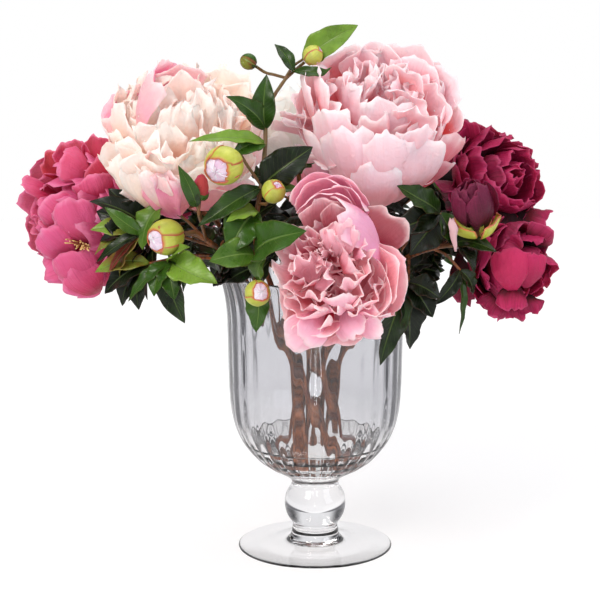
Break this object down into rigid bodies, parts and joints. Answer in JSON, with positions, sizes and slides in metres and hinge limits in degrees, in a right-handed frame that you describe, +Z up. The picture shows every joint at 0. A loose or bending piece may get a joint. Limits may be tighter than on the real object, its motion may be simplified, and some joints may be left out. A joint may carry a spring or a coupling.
{
  "type": "peonies in a vase",
  "caption": "Mixed peony blooms, buds and leafy stems standing in water in a footed, fluted clear glass vase; a table display.",
  "frame": {"origin": "centre of the flat underside of the vase's foot", "axes": "+Z up along the vase's axis; the front, where the rose-pink bloom hangs over the rim, faces -Y; +X is to the right seen from the front"},
  "size_m": [0.4983, 0.4063, 0.5122],
  "materials": {
    "glass": "polished clear glass",
    "water": "clear water",
    "stem": "satin woody stem",
    "leaf": "satin leaf",
    "bud": "satin sepal",
    "cream": "matte petal",
    "white": "matte petal",
    "blush": "matte petal",
    "rose": "matte petal",
    "magenta": "matte petal",
    "burgundy": "matte petal",
    "crimson": "matte petal",
    "plum": "matte petal"
  },
  "bodies": {
    "root": {"vase": "glass", "water": "water", "bloom_cream": "cream", "bloom_blush": "blush", "bloom_rose": "rose", "bloom_magenta": "magenta", "bloom_burgundy_upper": "burgundy", "bloom_burgundy_lower": "burgundy", "bloom_white_back": "white", "bloom_magenta_back": "magenta", "bloom_rose_back": "rose", "bloom_burgundy_back": "burgundy", "half_open": "plum", "bud_large": "bud", "bud_left": "bud", "bud_small": "bud", "bud_low": "bud", "bud_top": "bud", "bud_green": "leaf", "bud_crimson": "crimson", "stem_cream": "leaf", "stem_blush": "leaf", "stem_rose": "stem", "stem_magenta": "leaf", "stem_burgundy_upper": "leaf", "stem_burgundy_lower": "stem", "stem_half_open": "leaf", "stem_white_back": "leaf", "stem_magenta_back": "leaf", "stem_rose_back": "leaf", "stem_burgundy_back": "leaf", "spray_left": "leaf", "spray_centre": "leaf"}
  },
  "joints": []
}
